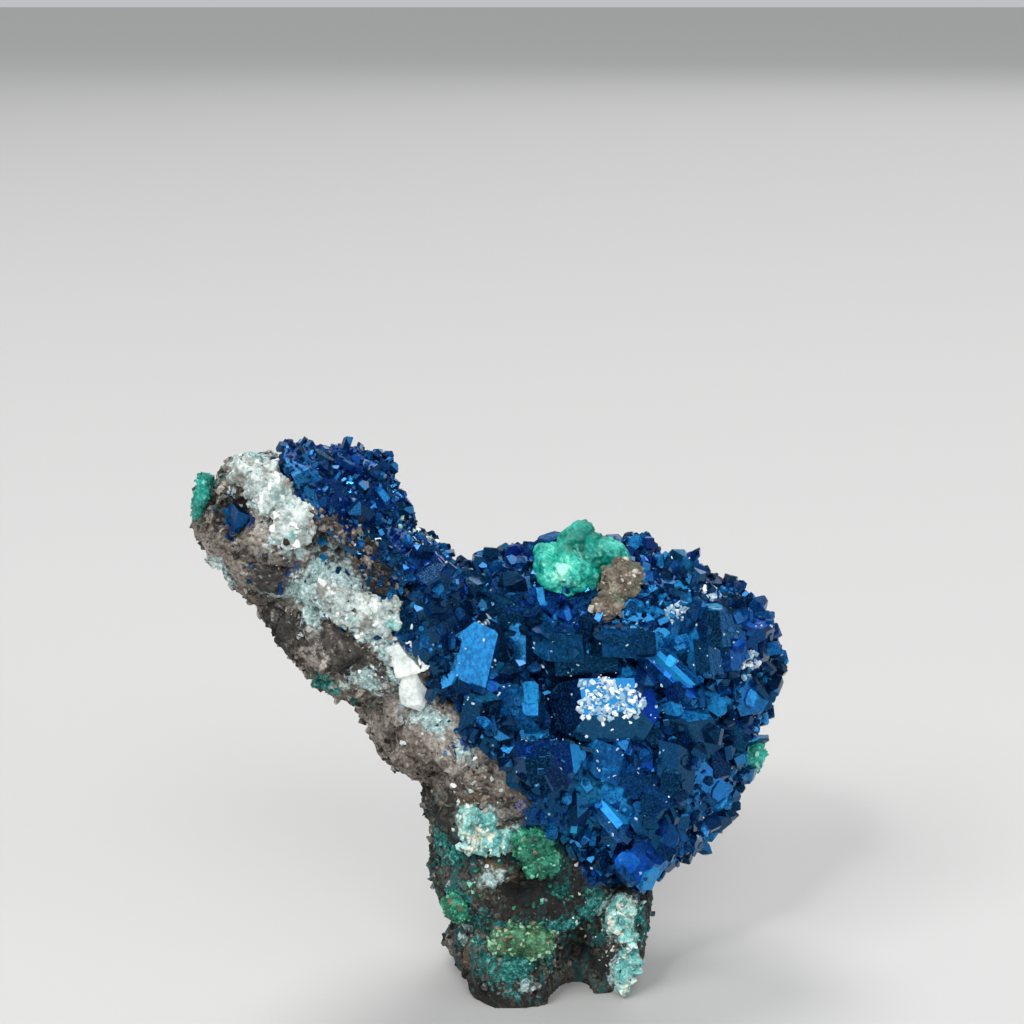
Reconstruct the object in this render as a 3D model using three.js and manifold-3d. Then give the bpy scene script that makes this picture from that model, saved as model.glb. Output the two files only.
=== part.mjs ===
// Azurite specimen: a hand-sized block of brown gossan, forked like a Y, with a bowl of blue azurite
// crystals grown on its right lobe, a finer azurite crust on its left arm, and malachite and pale
// chrysocolla on both. Millimetres, +Z up, the front faces -Y, and the origin is on the sawn foot.
import * as THREE from "three";
import { ConvexGeometry } from "three/addons/geometries/ConvexGeometry.js";
import { ImprovedNoise } from "three/addons/math/ImprovedNoise.js";
import { mergeVertices } from "three/addons/utils/BufferGeometryUtils.js";
import Module from "manifold-3d";

const wasm = await Module();
wasm.setup();

const GAP = 0.3; // clearance between two minerals that touch
const ROCK_DETAIL = 2; // subdivisions of each lump of gossan
const ROCK_ROUGHNESS = 1.1; // how far the gossan's surface wanders in and out
const ROCK_GRAIN = 7; // spacing of those hollows and swells

const noise = new ImprovedNoise();
const chance = () => THREE.MathUtils.seededRandom();
const degrees = THREE.MathUtils.degToRad;

// How far a point of the rough surface stands out of its smooth lump.
function swell(point, amount, grain) {
  const at = (scale) => noise.noise(point.x / scale, point.y / scale, point.z / scale);
  return amount * (at(grain) + 0.5 * at(grain / 2.1) + 0.25 * at(grain / 4.3));
}

function solid(geometry) {
  const bare = new THREE.BufferGeometry().setAttribute("position", geometry.getAttribute("position"));
  if (geometry.index) bare.setIndex(geometry.index);
  const merged = mergeVertices(bare, 1e-4);
  return new wasm.Manifold(
    new wasm.Mesh({
      numProp: 3,
      vertProperties: merged.attributes.position.array,
      triVerts: new Uint32Array(merged.index.array),
    }),
  );
}

// An ellipsoid of rough rock: centre, half-axes and lean about Y, then grown outwards if asked.
function lump([x, y, z], [rx, ry, rz], lean = 0, grow = 0, detail = ROCK_DETAIL, rough = ROCK_ROUGHNESS) {
  const ball = new THREE.IcosahedronGeometry(1, rx * rz > 130 ? detail : Math.min(detail, 1));
  const places = ball.attributes.position;
  const turn = new THREE.Matrix4().makeRotationY(degrees(lean));
  const point = new THREE.Vector3();
  const out = new THREE.Vector3();
  for (let i = 0; i < places.count; i++) {
    point.fromBufferAttribute(places, i);
    out.set(point.x / rx, point.y / ry, point.z / rz).normalize().transformDirection(turn);
    point.set(point.x * rx, point.y * ry, point.z * rz).applyMatrix4(turn);
    point.add(new THREE.Vector3(x, y, z));
    point.addScaledVector(out, swell(point, rough, ROCK_GRAIN) + grow);
    places.setXYZ(i, point.x, point.y, point.z);
  }
  return solid(ball);
}

// The largest body of a shape, without its loose chips.
function whole(shape) {
  return shape.decompose().reduce((most, one) => (one.volume() > most.volume() ? one : most));
}

const join = (solids) => solids.reduce((all, one) => all.add(one));

// The gossan: foot, trunk, left arm and right lobe, each row a centre, half-axes and lean.
const ROCK_LUMPS = [
  [[-1.5, 2, 4], [13, 12.5, 9], 0], // foot
  [[-4.5, -5.5, 5], [7.5, 6.5, 11], 0], // front toe
  [[8.5, -2.5, 8], [4.5, 6.5, 13], 12], // right toe
  [[-3, 0, 17], [14, 12.5, 13], 0], // trunk
  [[-5, -1, 29], [13.5, 12, 12], -30], // fork
  [[-14, -2, 39], [13.5, 10.5, 10], 42], // lower arm
  [[-24, -3, 52.5], [16, 11.5, 11], 42], // upper arm
  [[-34.5, -4, 64], [12, 10.5, 10], 24], // tip of the arm
  [[-28.6, 1, 63.6], [8.8, 9, 8.4], 40], // shoulder of the arm
  [[-30, 4, 49.5], [12, 7, 6], 42], // shelf under the arm
  [[-17, 4, 35], [9, 7, 7.5], 42], // back of the arm
  [[9, 2, 30], [17, 12, 14], -25], // lower lobe
  [[10.5, 7, 41.5], [19.8, 11, 13.5], -5], // upper lobe
  [[-5, 7, 46.5], [12, 8, 9.5], 0], // saddle between arm and lobe
  [[5, 12, 52], [11, 6.5, 6], 0], // crest
  [[-11, -9, 33.5], [9.5, 4.6, 3.8], 58], // granular ridge down the fork
];

// Hollows weathered out of it, as centres and half-axes.
const ROCK_HOLLOWS = [
  [[-2.4, -15, 15], [7.4, 7, 4.8], 0], // cave in the trunk
  [[3.4, -14, 3], [4, 11.5, 9.5], 0], // cleft between the toes
  [[-40.4, -13.6, 68], [3.4, 4, 3.2], 0], // pocket in the tip
];

function rock(grow, detail = ROCK_DETAIL) {
  const body = join(ROCK_LUMPS.map(([at, radii, lean]) => lump(at, radii, lean, grow, detail)));
  const hollows = ROCK_HOLLOWS.map(([at, radii, lean]) => lump(at, radii, lean, -grow, detail));
  return body.subtract(join(hollows));
}

// A block with rough sides, from its low corner to its high one, leaned about Y.
function block([lowX, lowY, lowZ], [highX, highY, highZ], lean = 0, rough = 0) {
  const sides = [highX - lowX, highY - lowY, highZ - lowZ];
  const steps = rough ? sides.map((side) => Math.round(side / 8)) : [1, 1, 1];
  const slab = new THREE.BoxGeometry(...sides, ...steps);
  slab.translate((lowX + highX) / 2, (lowY + highY) / 2, (lowZ + highZ) / 2);
  slab.rotateY(degrees(lean));
  const places = slab.attributes.position;
  const point = new THREE.Vector3();
  for (let i = 0; i < places.count; i++) {
    point.fromBufferAttribute(places, i);
    point.addScalar(swell(point, rough, 9));
    places.setXYZ(i, point.x, point.y, point.z);
  }
  return solid(slab);
}

const FLOOR = block([-90, -90, -60], [90, 90, 0]);
const gossanBody = rock(0).subtract(FLOOR);
const gossanRoom = rock(GAP);

// Where the rock's smooth surface lies behind a point of its front, and the way it looks there.
// A point beside the rock is taken at the rim of the nearest lump.
function front(x, z) {
  let nearest = { at: new THREE.Vector3(x, Infinity, z), beside: Infinity };
  for (const [[atX, atY, atZ], [rx, ry, rz], lean] of ROCK_LUMPS) {
    const turn = new THREE.Matrix4().makeRotationY(degrees(lean));
    const seen = new THREE.Vector3(x - atX, 0, z - atZ).applyMatrix4(turn.clone().transpose());
    const spread = (seen.x / rx) ** 2 + (seen.z / rz) ** 2;
    const beside = Math.max(spread - 1, 0);
    const deep = -Math.sqrt(Math.max(1 - spread, 0));
    const y = atY + deep * ry;
    if (beside > nearest.beside || (beside === nearest.beside && y > nearest.at.y)) continue;
    const out = new THREE.Vector3(seen.x / rx ** 2, deep / ry, seen.z / rz ** 2).transformDirection(turn);
    nearest = { at: new THREE.Vector3(x, y, z), out, beside };
  }
  return nearest;
}

// How deep a point is in the smooth rock: under 1 inside it, over 1 outside.
function depth(point) {
  return Math.min(
    ...ROCK_LUMPS.map(([at, radii, lean]) => {
      const turn = new THREE.Matrix4().makeRotationY(THREE.MathUtils.degToRad(-lean));
      const own = point.clone().sub(new THREE.Vector3(...at)).applyMatrix4(turn);
      return own.divide(new THREE.Vector3(...radii)).length();
    }),
  );
}

// The ways an azurite crystal's faces look, in its own axes: X across, Y through and Z along it.
const HALF_OF_THE_FACES = [
  [0.74, 0.67, 0],
  [-0.74, 0.67, 0],
  [0, 1, 0],
  [0.12, 0, 1],
  [0.58, 0, 0.81],
  [-0.76, 0, 0.65],
  [1, 0, 0],
  [0, 0.68, 0.73],
];
const CRYSTAL_FACES = HALF_OF_THE_FACES.flatMap(([x, y, z]) => [
  new THREE.Vector3(x, y, z).normalize(),
  new THREE.Vector3(-x, -y, -z).normalize(),
]);

// One crystal: its middle, its width, thickness and length, its turn, and how many of the faces it has.
function crystal(at, [across, through, along], turn, kinds) {
  const faces = CRYSTAL_FACES.slice(0, 2 * kinds).map((look) => {
    const reach = Math.hypot(look.x * across, look.y * through, look.z * along) / 2;
    return { look: look.clone().applyQuaternion(turn), reach: reach * (0.8 + 0.34 * chance()) };
  });
  return { at, faces };
}

function crystalSolid({ at, faces }, grow) {
  const walls = faces.map(({ look, reach }) => new THREE.Plane(look, -reach - grow));
  const corners = [];
  for (let i = 0; i < walls.length; i++) {
    for (let j = i + 1; j < walls.length; j++) {
      for (let k = j + 1; k < walls.length; k++) {
        const [a, b, c] = [walls[i], walls[j], walls[k]];
        const bc = new THREE.Vector3().crossVectors(b.normal, c.normal);
        const volume = a.normal.dot(bc);
        if (Math.abs(volume) < 0.02) continue;
        const corner = bc.multiplyScalar(-a.constant);
        corner.addScaledVector(new THREE.Vector3().crossVectors(c.normal, a.normal), -b.constant);
        corner.addScaledVector(new THREE.Vector3().crossVectors(a.normal, b.normal), -c.constant);
        corner.divideScalar(volume);
        if (walls.every((wall) => wall.distanceToPoint(corner) < 1e-6)) corners.push(corner);
      }
    }
  }
  return solid(new ConvexGeometry(corners)).translate(at.x, at.y, at.z);
}

// How a crystal lies: swung clockwise as seen from the front, tipped forwards, then spun about its length.
function lie(swing, tip, spin) {
  const turn = new THREE.Matrix4().makeRotationY(degrees(swing));
  turn.multiply(new THREE.Matrix4().makeRotationX(degrees(tip)));
  turn.multiply(new THREE.Matrix4().makeRotationZ(degrees(spin)));
  return new THREE.Quaternion().setFromRotationMatrix(turn);
}

// The large crystals of the bowl: where on the front (x, z), how far out, the sizes, how they lie
// (swing, tip, spin), and how many smaller ones have grown on each in the same direction.
const BOWL_CRYSTALS = [
  [-11.6, 47, 1.2, [8.2, 5, 11.5], [14, -24, 24], 0], // broad blade at the left end
  [-13.6, 47.5, 0, [4.4, 5, 8.6], [-8, 8, -38], 0],
  [-9, 48.6, 3.4, [6.5, 5.5, 7.4], [40, 20, 20], 0],
  [-16, 58, 1, [6, 5, 7.8], [25, 15, 30], 0],
  [-12.4, 55, -3.2, [4.6, 3.4, 6.6], [-25, 5, 0], 0],
  [-9.4, 41.4, 0.8, [5.6, 4.6, 6.6], [10, 10, 45], 0],
  [-5, 40.6, 1.6, [7.2, 6, 7.6], [5, -20, 10], 0], // cloudy block
  [-5.4, 44.8, 2.2, [2.6, 2, 5.6], [-35, 15, 20], 0],
  [-8, 52.6, 1.8, [7, 3, 3], [15, 0, 0], 0],
  [-4, 47.6, 1.4, [5.4, 4, 5], [0, -25, -15], 0],
  [-1.8, 45, 1.6, [3, 3, 7.4], [58, 10, 40], 0],
  [-1.6, 51.6, 1.4, [3.4, 2.4, 7.6], [-10, -12, 30], 0],
  [-3, 56, 0.4, [7.6, 4, 4], [-12, 0, 15], 0],
  [5.4, 46, 2.2, [13.4, 6.5, 6.4], [-4, -10, 4], 2], // the stepped block, its upper storey
  [7.2, 39.6, 3, [14.6, 8, 8.4], [-9, -30, 6], 0], // and its lower one
  [15.4, 43.8, 3.8, [3, 3.6, 11.4], [-48, -12, 20], 1], // long blade beside it
  [19.6, 40.4, 2.2, [3, 3, 6], [-55, -5, 10], 0],
  [16.8, 49.6, 1.2, [4, 3.4, 7.6], [8, -10, 15], 0],
  [21.4, 47.4, 1.4, [8.8, 7, 8.4], [-6, -12, -12], 2], // ledges at the right
  [27, 45.4, 0.2, [5, 6, 10], [8, 0, -30], 0],
  [24.8, 40, 1.4, [7.6, 6, 6.4], [30, -20, -35], 0],
  [24, 35.6, 1, [5, 4.4, 6.4], [20, -10, -50], 0],
  [17.4, 38, 1.4, [6.4, 5, 7], [-20, 10, -20], 0],
  [18.4, 55.6, -0.6, [4, 3.6, 6.8], [12, 0, 0], 0],
  [12.4, 57.6, -0.4, [6.4, 4.4, 4.4], [-15, 0, 0], 0],
  [-1, 35, 1.6, [9.8, 6, 5.6], [-8, -16, 0], 1], // dark block over the foot of the bowl
  [3.4, 31.4, 1.8, [4, 3.4, 5], [-28, -15, 20], 0],
  [7.2, 28, 2, [3.4, 3, 8.6], [-44, -20, 20], 0], // bright blade
  [4, 26, 1, [4, 3.4, 4.6], [20, 0, 10], 0],
  [11.6, 21.4, 2.4, [6.4, 5.6, 7], [42, -12, 42], 0], // rhomb at the low point
  [12.2, 31, 1.6, [6, 4.4, 6.6], [-50, -12, 8], 0],
  [19.4, 31.6, 1.6, [3.4, 3.4, 6.8], [-42, 5, -20], 0],
  [15.4, 33.8, 1.8, [5, 4.6, 7], [5, -8, -10], 0],
  [7, 34.6, 1.4, [5.6, 4.6, 5], [15, -10, 0], 0],
  [14.8, 26, 1.4, [5.4, 4.6, 6.2], [10, -5, -25], 0],
  [6, 19.8, 1, [3.2, 3, 4], [0, 0, 0], 0],
  [-0.4, 28.6, 0.4, [8, 4, 4.4], [10, 0, 10], 0],
];

// The crystals of the list, with the smaller ones that share their directions.
function grownTogether(rows) {
  return rows.flatMap(([x, z, stand, size, [swing, tip, spin], steps]) => {
    const { at, out } = front(x, z);
    const middle = at.addScaledVector(out, stand - 1);
    const turn = lie(swing, tip, spin);
    const family = [crystal(middle, size, turn, Math.max(...size) > 7 ? 8 : 5)];
    for (let step = 0; step < steps; step++) {
      const [across, through, along] = size.map((length) => length * (0.5 + 0.3 * chance()));
      const shift = new THREE.Vector3(chance() - 0.5, -0.3 - 0.3 * chance(), chance() - 0.5);
      shift.multiply(new THREE.Vector3(...size)).multiplyScalar(0.8).applyQuaternion(turn);
      family.push(crystal(middle.clone().add(shift), [across, through, along], turn, 5));
    }
    return family;
  });
}

// Smaller crystals sown over lumps of the rock, no two too near, the larger ones where sizeAt says so.
function sown(lumps, wanted, inBed, sizeAt, taken) {
  const found = [];
  for (let go = 0; go < wanted * 60 && found.length < wanted; go++) {
    const [at, radii, lean] = lumps[Math.floor(chance() * lumps.length)];
    const turn = new THREE.Matrix4().makeRotationY(degrees(lean));
    const way = new THREE.Vector3().setFromSphericalCoords(1, Math.acos(1 - 2 * chance()), 6.283 * chance());
    const place = way.clone().multiply(new THREE.Vector3(...radii)).applyMatrix4(turn);
    place.add(new THREE.Vector3(...at));
    if (depth(place) < 0.98 || !inBed(place)) continue;
    const size = sizeAt(place) * (0.75 + 0.5 * chance());
    if ([...taken, ...found].some((other) => other.at.distanceTo(place) < 0.62 * size)) continue;
    const out = way.divide(new THREE.Vector3(...radii)).transformDirection(turn);
    out.x += 0.9 * (chance() - 0.5);
    out.y += 0.9 * (chance() - 0.5);
    out.z += 0.9 * (chance() - 0.5);
    const up = new THREE.Quaternion().setFromUnitVectors(new THREE.Vector3(0, 0, 1), out.normalize());
    up.multiply(lie(0, 0, 360 * chance()));
    const shape = [size * (0.65 + 0.3 * chance()), size * (0.5 + 0.3 * chance()), size * (1 + 0.4 * chance())];
    found.push(crystal(place.addScaledVector(out, 0.1 * size), shape, up, 5));
  }
  return found;
}

THREE.MathUtils.seededRandom(41);

const BED = 1.4; // thickness of the massive azurite the crystals stand on
const SLOPE = -37.9; // the azurite ends along a line that runs down the arm and the fork at this lean

// The two beds, grown a little where something has to keep clear of them.
function bowlBed(grow) {
  const reach = block([17 - 2 * grow, -40, -80], [80, 10.5 + 2 * grow, 56.6 + 2 * grow], SLOPE, 1.6);
  const below = block([-40, -40, -20], [60, 40, 16.4 - 2 * grow], 0, 1.6);
  return rock(GAP + BED + grow, 1).intersect(reach).subtract(below);
}

function crustBed(grow) {
  const reach = block([18.6 - 2 * grow, -40, 57.8 - 2 * grow], [80, 6 + 2 * grow, 110], SLOPE, 1.6);
  return rock(GAP + BED + grow, 1).intersect(reach);
}

const bowlRows = grownTogether(BOWL_CRYSTALS);
const inBowl = ({ x, y, z }) => 0.77 * x + 0.6 * z > 18 && -0.64 * x + 0.77 * z < 54 && y < 9 && z > 17;
const bowlSize = ({ x, y, z }) => 4.8 - 0.06 * Math.hypot(x - 8, z - 40) - 0.1 * Math.max(0, y);
const bowlSown = sown(ROCK_LUMPS.slice(11, 15), 12, inBowl, bowlSize, bowlRows);
const bowlCrystals = [...bowlRows, ...bowlSown];
const bowl = (grow) => join([bowlBed(grow), ...bowlCrystals.map((one) => crystalSolid(one, grow))]);
const azuriteBowl = whole(bowl(0).subtract(gossanRoom));
const bowlRoom = bowl(GAP);

const inCrust = ({ x, y, z }) => 0.77 * x + 0.6 * z > 19.5 && -0.64 * x + 0.77 * z > 60 && y < 6;
const crustSown = sown(ROCK_LUMPS.slice(6, 9), 8, inCrust, () => 3.6, []);
const crust = (grow) => join([crustBed(grow), ...crustSown.map((one) => crystalSolid(one, grow))]);
const azuriteCrust = whole(crust(0).subtract(gossanRoom).subtract(bowlRoom));
const crustRoom = crust(GAP);

const POCKET_CRYSTALS = [
  [-40.4, 67.6, -2.2, [3.6, 3, 4.4], [20, 10, 0], 0],
  [-41.8, 68.8, -2.4, [3, 2.4, 4], [-35, 0, 30], 0],
  [-39, 66.6, -2, [2.6, 2.4, 3.8], [60, 0, -20], 0],
  [-40.2, 69.6, -2.6, [2.6, 2, 3.4], [5, -30, 10], 0],
];
const pocketRows = grownTogether(POCKET_CRYSTALS);
const pocket = (grow) => join(pocketRows.map((one) => crystalSolid(one, grow)));
const azuritePocket = whole(pocket(0).subtract(gossanRoom));

// Rough lumps on the front of the rock, each row x, z, how far out, half-axes and lean.
function mound(rows, rough, grow) {
  return join(
    rows.map(([x, z, stand, radii, lean = 0]) => {
      const { at, out } = front(x, z);
      return lump(at.addScaledVector(out, stand).toArray(), radii, lean, grow, 1, rough);
    }),
  );
}

// A crust or tuft, clear of the rock, the azurite and, where it has one, its neighbour's room.
function growth(rows, rough, neighbour) {
  const taken = [gossanRoom, bowlRoom, crustRoom, pocket(GAP), FLOOR];
  if (neighbour) taken.push(neighbour);
  return whole(mound(rows, rough, 0).subtract(join(taken)));
}

const MALACHITE_KNOB = [
  [2.6, 54.8, 3.2, [4.8, 3.8, 3.8], 15],
  [3.9, 56.6, 3.4, [3.1, 2.7, 3.8], -8],
  [7, 56.2, 2.4, [2.8, 2.4, 2.2], 20],
];
const LIMONITE_NUB = [
  [9.4, 53.4, 1.2, [2.8, 2.3, 3.6], 15],
  [7.8, 51.8, 0.8, [2.2, 2, 2.4]],
];
const MALACHITE_ROSETTE = [
  [26.4, 30.8, 0.8, [2.3, 2.4, 2.6]],
];
const MALACHITE_FRONT_TUFT = [
  [-2.6, 24.4, 0.2, [2.8, 2.4, 2.6]],
  [-1.4, 21.8, 0.2, [2.6, 2.2, 2.2]],
];
const MALACHITE_FOOT_TUFT = [
  [-5.4, 9.8, 0, [2.6, 1.8, 2.2]],
  [-2.2, 9.4, 0, [2.4, 1.8, 2]],
];
const MALACHITE_LEFT_TUFT = [
  [-12.2, 13.6, 0, [2, 1.8, 2.8]],
];
const MALACHITE_TIP_SKIN = [
  [-44.6, 69.2, -0.5, [1.3, 2.3, 3.6], 12],
];
const UPPER_WHITE_CRUST = [
  [-36.8, 72.6, -0.8, [3.2, 2, 2.6], 30],
  [-34.2, 70.4, -0.8, [4.6, 2.1, 3.2], 40],
  [-32.2, 67.4, -0.8, [2.8, 2, 3.4], 20],
];
const LOWER_WHITE_CRUST = [
  [-25, 56, -0.8, [5, 2.1, 3], 40],
  [-20.8, 55.4, -0.7, [3, 2, 3.4], 20],
];
// The white plate is broken flat, so it has faces as a crystal has.
const WHITE_PLATE = [
  [-18.4, 50, 0.6, [6.6, 3, 4.6], [-24, 6, 0], 0],
  [-17.9, 46.2, 0.5, [3.6, 2.8, 8.4], [-9, -4, 12], 0],
];
const plateRows = grownTogether(WHITE_PLATE);
const plate = (grow) => join(plateRows.map((one) => crystalSolid(one, grow)));
const whitePlate = whole(plate(0).subtract(join([gossanRoom, bowlRoom, crustRoom])));

const PALE_BLUE_CRUST = [
  [-9.4, 27.4, -0.3, [2.7, 1.6, 2.6], 0],
  [-6.9, 24.4, -0.3, [2.6, 1.5, 1.8], 0],
  [-9.8, 24, -0.3, [1.6, 1.4, 1.8], 0],
];
const FOOT_CHRYSOCOLLA = [
  [9, 12.4, -0.1, [1.4, 1.4, 2.8], 25],
  [10.4, 8.2, -0.1, [1.4, 1.4, 3.4], -10],
  [10, 3.8, -0.1, [1.6, 1.5, 3.4], 5],
];

const knobRoom = mound(MALACHITE_KNOB, 0.8, GAP);
const tuftRoom = mound(MALACHITE_FRONT_TUFT, 0.8, GAP);

function piece(name, shape, material) {
  const made = shape.getMesh();
  const geometry = new THREE.BufferGeometry();
  geometry.setAttribute("position", new THREE.BufferAttribute(made.vertProperties, 3));
  geometry.setIndex(new THREE.BufferAttribute(made.triVerts, 1));
  const mesh = new THREE.Mesh(geometry, material);
  mesh.name = name;
  return mesh;
}

const stone = (color, roughness) => new THREE.MeshStandardMaterial({ color, roughness, metalness: 0 });
const specimen = new THREE.Group();
specimen.add(piece("matrix_rock", gossanBody, stone(0x5d544b, 0.95)));
specimen.add(piece("azurite_bowl_druse", azuriteBowl, stone(0x0b3a8c, 0.15)));
specimen.add(piece("azurite_arm_crust", azuriteCrust, stone(0x0d47a8, 0.25)));
specimen.add(piece("azurite_pocket_crystals", azuritePocket, stone(0x082a66, 0.2)));
specimen.add(piece("malachite_crest_knob", growth(MALACHITE_KNOB, 0.8), stone(0x17a183, 0.6)));
specimen.add(piece("limonite_crest_nub", growth(LIMONITE_NUB, 0.8, knobRoom), stone(0x857660, 0.95)));
specimen.add(piece("malachite_rim_rosette", growth(MALACHITE_ROSETTE, 0.7), stone(0x1c8a67, 0.6)));
specimen.add(piece("malachite_front_tuft", growth(MALACHITE_FRONT_TUFT, 0.8), stone(0x3f9f7c, 0.8)));
specimen.add(piece("malachite_foot_tuft", growth(MALACHITE_FOOT_TUFT, 0.8), stone(0x5a9c80, 0.8)));
specimen.add(piece("malachite_left_tuft", growth(MALACHITE_LEFT_TUFT, 0.8), stone(0x3f9f7c, 0.8)));
specimen.add(piece("malachite_tip_skin", growth(MALACHITE_TIP_SKIN, 0.5), stone(0x1fa47e, 0.7)));
specimen.add(piece("white_crust_upper", growth(UPPER_WHITE_CRUST, 0.7), stone(0xd9dfdc, 0.9)));
specimen.add(piece("white_crust_lower", growth(LOWER_WHITE_CRUST, 0.7, plate(GAP)), stone(0xc5e0d8, 0.9)));
specimen.add(piece("white_plate", whitePlate, stone(0xe6ebe6, 0.8)));
specimen.add(piece("pale_blue_crust", growth(PALE_BLUE_CRUST, 0.6, tuftRoom), stone(0xb9d9d6, 0.9)));
specimen.add(piece("chrysocolla_right_foot", growth(FOOT_CHRYSOCOLLA, 0.6), stone(0x9fd3cb, 0.8)));
export default specimen;
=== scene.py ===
"""Azurite specimen: the looks of a forked block of gossan with azurite, malachite and chrysocolla on it."""

import itertools
import math

import bmesh
import bpy
import numpy as np
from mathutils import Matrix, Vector
from mathutils import noise as noises
from mathutils.bvhtree import BVHTree


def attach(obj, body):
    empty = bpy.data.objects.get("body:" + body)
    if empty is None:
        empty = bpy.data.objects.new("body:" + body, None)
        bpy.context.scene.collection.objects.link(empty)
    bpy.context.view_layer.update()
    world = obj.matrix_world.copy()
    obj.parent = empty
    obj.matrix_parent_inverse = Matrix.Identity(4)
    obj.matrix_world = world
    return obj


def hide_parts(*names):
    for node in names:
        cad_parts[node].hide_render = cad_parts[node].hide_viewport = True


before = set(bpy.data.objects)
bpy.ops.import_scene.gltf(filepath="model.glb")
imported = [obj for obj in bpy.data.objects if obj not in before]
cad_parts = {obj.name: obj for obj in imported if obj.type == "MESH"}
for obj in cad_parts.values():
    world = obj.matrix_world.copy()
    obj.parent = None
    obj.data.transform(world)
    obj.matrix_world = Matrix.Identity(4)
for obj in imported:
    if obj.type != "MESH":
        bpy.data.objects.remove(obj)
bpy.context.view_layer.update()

MM = 0.001


# ---------------------------------------------------------------- the gossan
# The block itself is gossan, a rusty rock of iron oxides and quartz. It is one broken lump with a
# flat sawn foot, granular all over, with pores, cracks and a cave in its trunk.
GOSSAN_GRAIN = 0.39 * MM  # the finest relief that is modelled
GOSSAN_HEIGHTS = {"swells": 1.9 * MM, "crumbs": 0.75 * MM, "pores": 1.6 * MM, "cracks": 0.8 * MM}
SWELLS_PER_METRE = 150.0
CRUMBS_PER_METRE = 640.0
CRUMB_PATCHES_PER_METRE = 95.0
PORES_PER_METRE = 330.0
PORE_PATCHES_PER_METRE = 190.0
CRACKS_PER_METRE = 115.0
BENDS_PER_METRE = 420.0  # crumbs, pores and cracks are bent by BEND
BEND = 1.2 * MM
SAWN_FOOT = (0.1 * MM, 1.6 * MM)  # the relief fades out between these heights


def shown(name, data):
    """A new object in the scene, at the origin."""
    piece = bpy.data.objects.new(name, data)
    bpy.context.scene.collection.objects.link(piece)
    return piece


def welded(node, name):
    """A CAD node's shape as a new object, with its loose triangles joined."""
    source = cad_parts[node].data
    mesh = bpy.data.meshes.new(name)
    mesh.from_pydata([v.co[:] for v in source.vertices], [], [p.vertices[:] for p in source.polygons])
    shape = bmesh.new()
    shape.from_mesh(mesh)
    bmesh.ops.remove_doubles(shape, verts=shape.verts, dist=1e-6)
    shape.to_mesh(mesh)
    shape.free()
    return shown(name, mesh)


def wire(tree, node, inputs):
    """A node's inputs, linked or set."""
    for name, value in inputs.items():
        if isinstance(value, bpy.types.NodeSocket):
            tree.links.new(value, node.inputs[name])
        else:
            node.inputs[name].default_value = value


def add(tree, kind, inputs=None, **settings):
    """A new node with its settings and inputs."""
    node = tree.nodes.new(kind)
    for name, value in settings.items():
        setattr(node, name, value)
    wire(tree, node, inputs or {})
    return node


def sums(tree, operation, first, second=0.0, third=0.0, clamp=False):
    """A Math node's result."""
    inputs = {0: first, 1: second, 2: third}
    return add(tree, "ShaderNodeMath", inputs, operation=operation, use_clamp=clamp).outputs[0]


def times(tree, first, second):
    """One value times another."""
    return sums(tree, "MULTIPLY", first, second)


def sloped(tree, value, slope, start):
    """A value times a slope, plus a start."""
    return sums(tree, "MULTIPLY_ADD", value, slope, start)


def placed(tree):
    """The place on the object, in metres, for a material's patterns."""
    return add(tree, "ShaderNodeTexCoord").outputs["Object"]


def scaled(tree, vector, size):
    """A vector made longer or shorter."""
    return add(tree, "ShaderNodeVectorMath", {0: vector, 3: size}, operation="SCALE").outputs[0]


def shifted(tree, vector, way):
    """A vector with another one added."""
    return add(tree, "ShaderNodeVectorMath", {0: vector, 1: way}, operation="ADD").outputs[0]


def stretched(tree, value, low, high, to_low=0.0, to_high=1.0):
    """A value moved smoothly from one range to another."""
    inputs = {"Value": value, 1: low, 2: high, 3: to_low, 4: to_high}
    return add(tree, "ShaderNodeMapRange", inputs, interpolation_type="SMOOTHSTEP").outputs[0]


def new_tree(kind, name, inputs, outputs):
    """A node tree with its named inputs and outputs, and the sockets that its inputs arrive at."""
    tree = bpy.data.node_groups.new(name, kind)
    for side, sockets in [("INPUT", inputs), ("OUTPUT", outputs)]:
        for label, socket in sockets.items():
            tree.interface.new_socket(label, in_out=side, socket_type="NodeSocket" + socket)
    return tree, add(tree, "NodeGroupInput").outputs


def growth_tree(name, sockets):
    """A Geometry Nodes tree with a geometry in, a geometry out and the named inputs."""
    through = {"Geometry": "Geometry"}
    return new_tree("GeometryNodeTree", name, through | sockets, through)


def run(tree, base, name, **settings):
    """What a tree makes of a base object, as a plain object of its own."""
    modifier = base.modifiers.new(tree.name, "NODES")
    modifier.node_group = tree
    for socket in tree.interface.items_tree:
        label = socket.name.lower().replace(" ", "_")
        if socket.in_out == "INPUT" and label in settings:
            modifier[socket.identifier] = settings[label]
    evaluated = base.evaluated_get(bpy.context.evaluated_depsgraph_get())
    mesh = bpy.data.meshes.new_from_object(evaluated)
    mesh.name = name
    base.modifiers.remove(modifier)
    return shown(name, mesh)


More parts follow.
